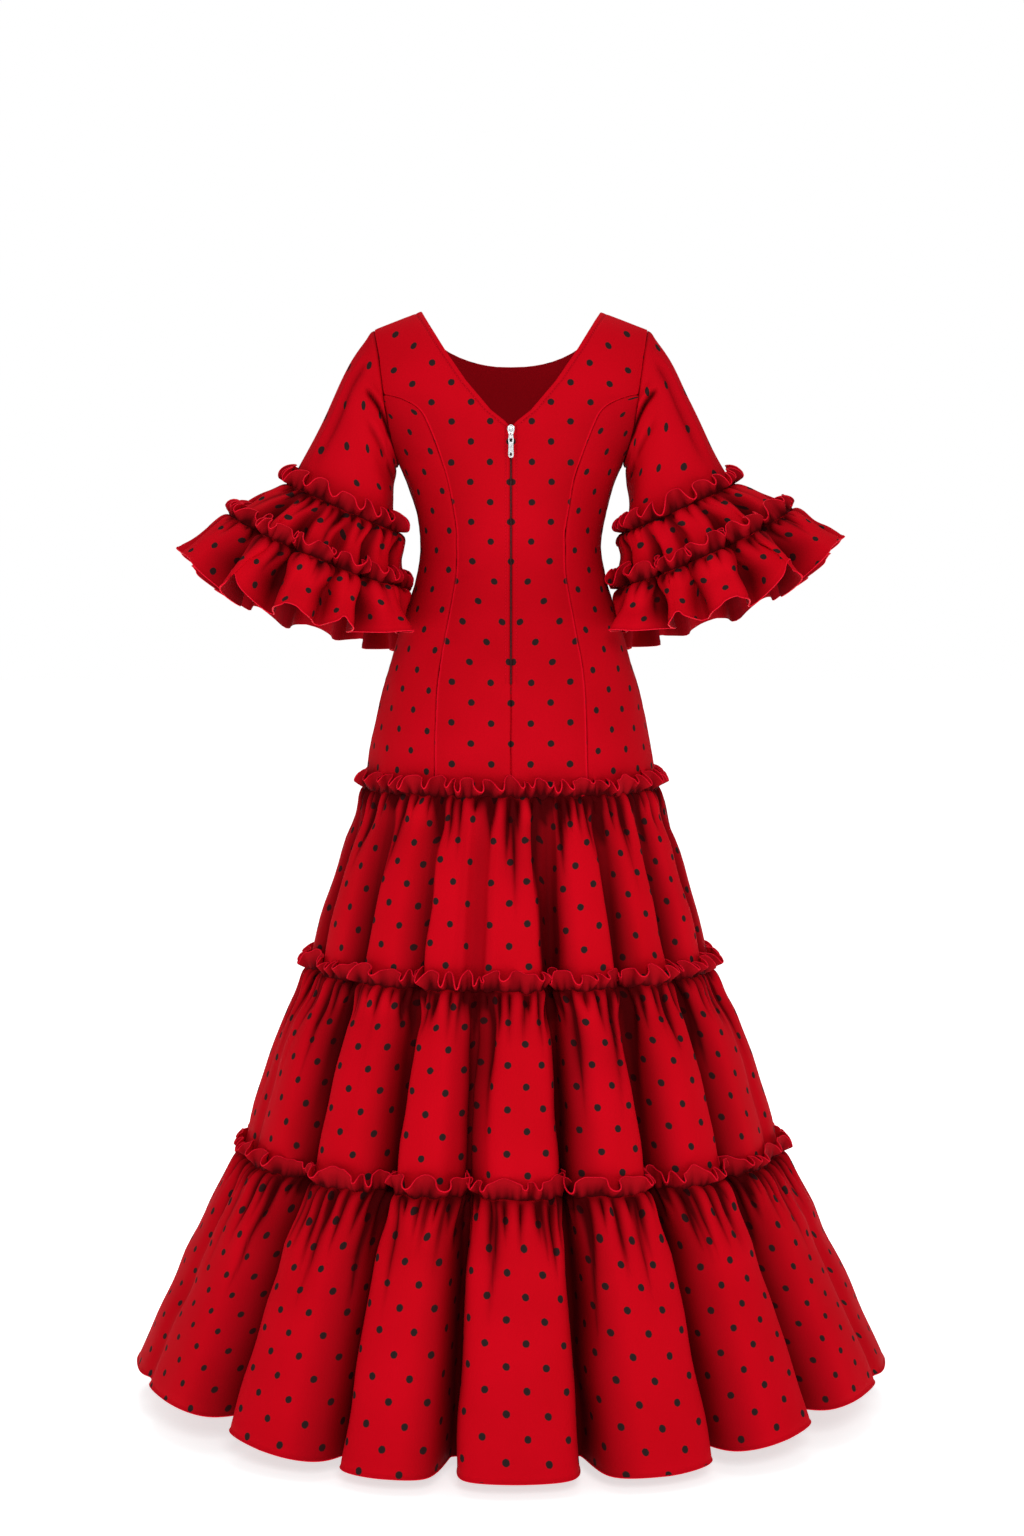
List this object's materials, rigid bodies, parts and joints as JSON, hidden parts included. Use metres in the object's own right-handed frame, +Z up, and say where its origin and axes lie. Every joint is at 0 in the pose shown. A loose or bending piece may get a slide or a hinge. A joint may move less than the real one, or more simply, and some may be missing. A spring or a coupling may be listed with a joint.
{
  "type": "flamenco dress",
  "caption": "Girl's worn flamenco dress, hollow: fitted bodice with a V back and zip, flounced sleeves, and a gathered tiered skirt in dotted red cloth.",
  "frame": {"origin": "midway between the inner ends of the shoulder seams, where the wearer's shoulders carry the dress", "axes": "+Z up, -Y out of the back of the dress, +X towards the wearer's right"},
  "size_m": [0.7413, 0.6067, 1.0661],
  "materials": {
    "cloth": "smooth crepe with a soft sheen, red with small brown-black dots",
    "zip_tape": "matt woven tape, dark red",
    "zip_metal": "bright silver-white zip metal"
  },
  "bodies": {
    "dress": {"front": "cloth", "back_centre_left": "cloth", "back_centre_right": "cloth", "back_side_left": "cloth", "back_side_right": "cloth", "sleeve_left": "cloth", "sleeve_right": "cloth", "sleeve_left_upper_flounce": "cloth", "sleeve_right_upper_flounce": "cloth", "sleeve_left_lower_flounce": "cloth", "sleeve_right_lower_flounce": "cloth", "skirt_tier_1": "cloth", "skirt_tier_2": "cloth", "skirt_tier_3": "cloth", "zip_tape": "zip_tape", "zip_slider": "zip_metal"},
    "zip_pull": {"zip_pull": "zip_metal"}
  },
  "joints": [
    {"name": "zip_pull_swing", "type": "hinge", "parent": "dress", "child": "zip_pull", "pos_m": [0, -0.08983, -0.12685], "axis": [-1, 0, 0], "range_deg": [0, 170]}
  ]
}
